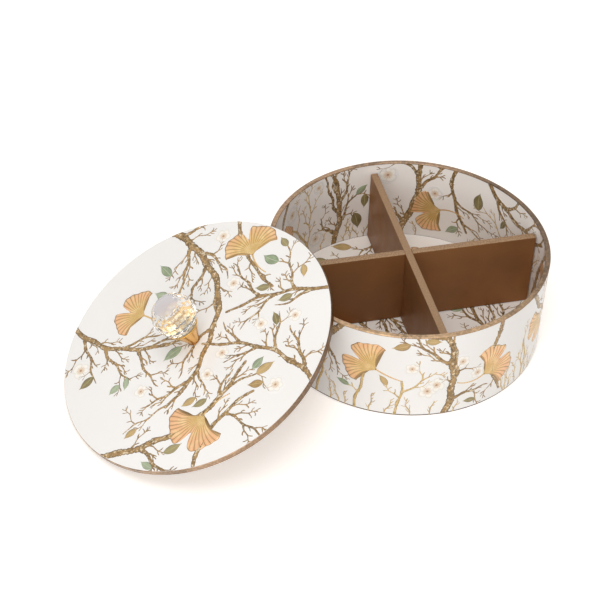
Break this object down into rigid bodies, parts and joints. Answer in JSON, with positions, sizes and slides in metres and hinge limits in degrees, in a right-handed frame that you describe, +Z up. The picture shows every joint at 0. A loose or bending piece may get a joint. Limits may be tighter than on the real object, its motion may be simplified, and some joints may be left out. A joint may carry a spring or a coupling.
{
  "type": "roti box",
  "caption": "Round covered box with a lift-out cross divider making quarter compartments, and a flat lift-off lid with a faceted crystal knob, leaning on the rim.",
  "frame": {"origin": "centre of the base board's underside, on the box's axis, where the box stands", "axes": "+Z up along the box's axis; +X along the lower divider, away from the lid; +Y along the upper divider"},
  "size_m": [0.3577, 0.2468, 0.0933],
  "materials": {
    "raw_board": "matte",
    "painted_edge": "satin, copper brown paint",
    "printed_wrap": "satin laminated print",
    "printed_lining": "satin laminated print",
    "divider_paint": "satin brown paint",
    "gold_plate": "polished",
    "zinc_plate": "bright zinc",
    "lead_crystal": "polished, faceted"
  },
  "bodies": {
    "box": {"base_board": "raw_board", "side_wall": "painted_edge", "outer_wrap": "printed_wrap", "inner_lining": "printed_lining", "floor_liner": "printed_lining"},
    "lid": {"lid_board": "painted_edge", "lid_top_film": "printed_wrap", "lid_locating_disc": "divider_paint", "knob_crystal": "lead_crystal", "knob_base": "gold_plate", "knob_screw": "zinc_plate", "knob_washer": "zinc_plate"},
    "cross": {"lower_divider": "divider_paint"},
    "cross_top": {"upper_divider": "divider_paint"}
  },
  "joints": [
    {"name": "lid_lift", "type": "slide", "parent": "box", "child": "lid", "axis": [0, 0, 1], "range_m": [0, 0.08]},
    {"name": "divider_lift", "type": "slide", "parent": "box", "child": "cross", "axis": [0, 0, 1], "range_m": [0, 0.072]},
    {"name": "upper_divider_lift", "type": "slide", "parent": "cross", "child": "cross_top", "axis": [0, 0, 1], "range_m": [0, 0.072]}
  ],
  "couplings": [
    {"joint": "divider_lift", "follows": "lid_lift", "ratio": 0.9}
  ]
}
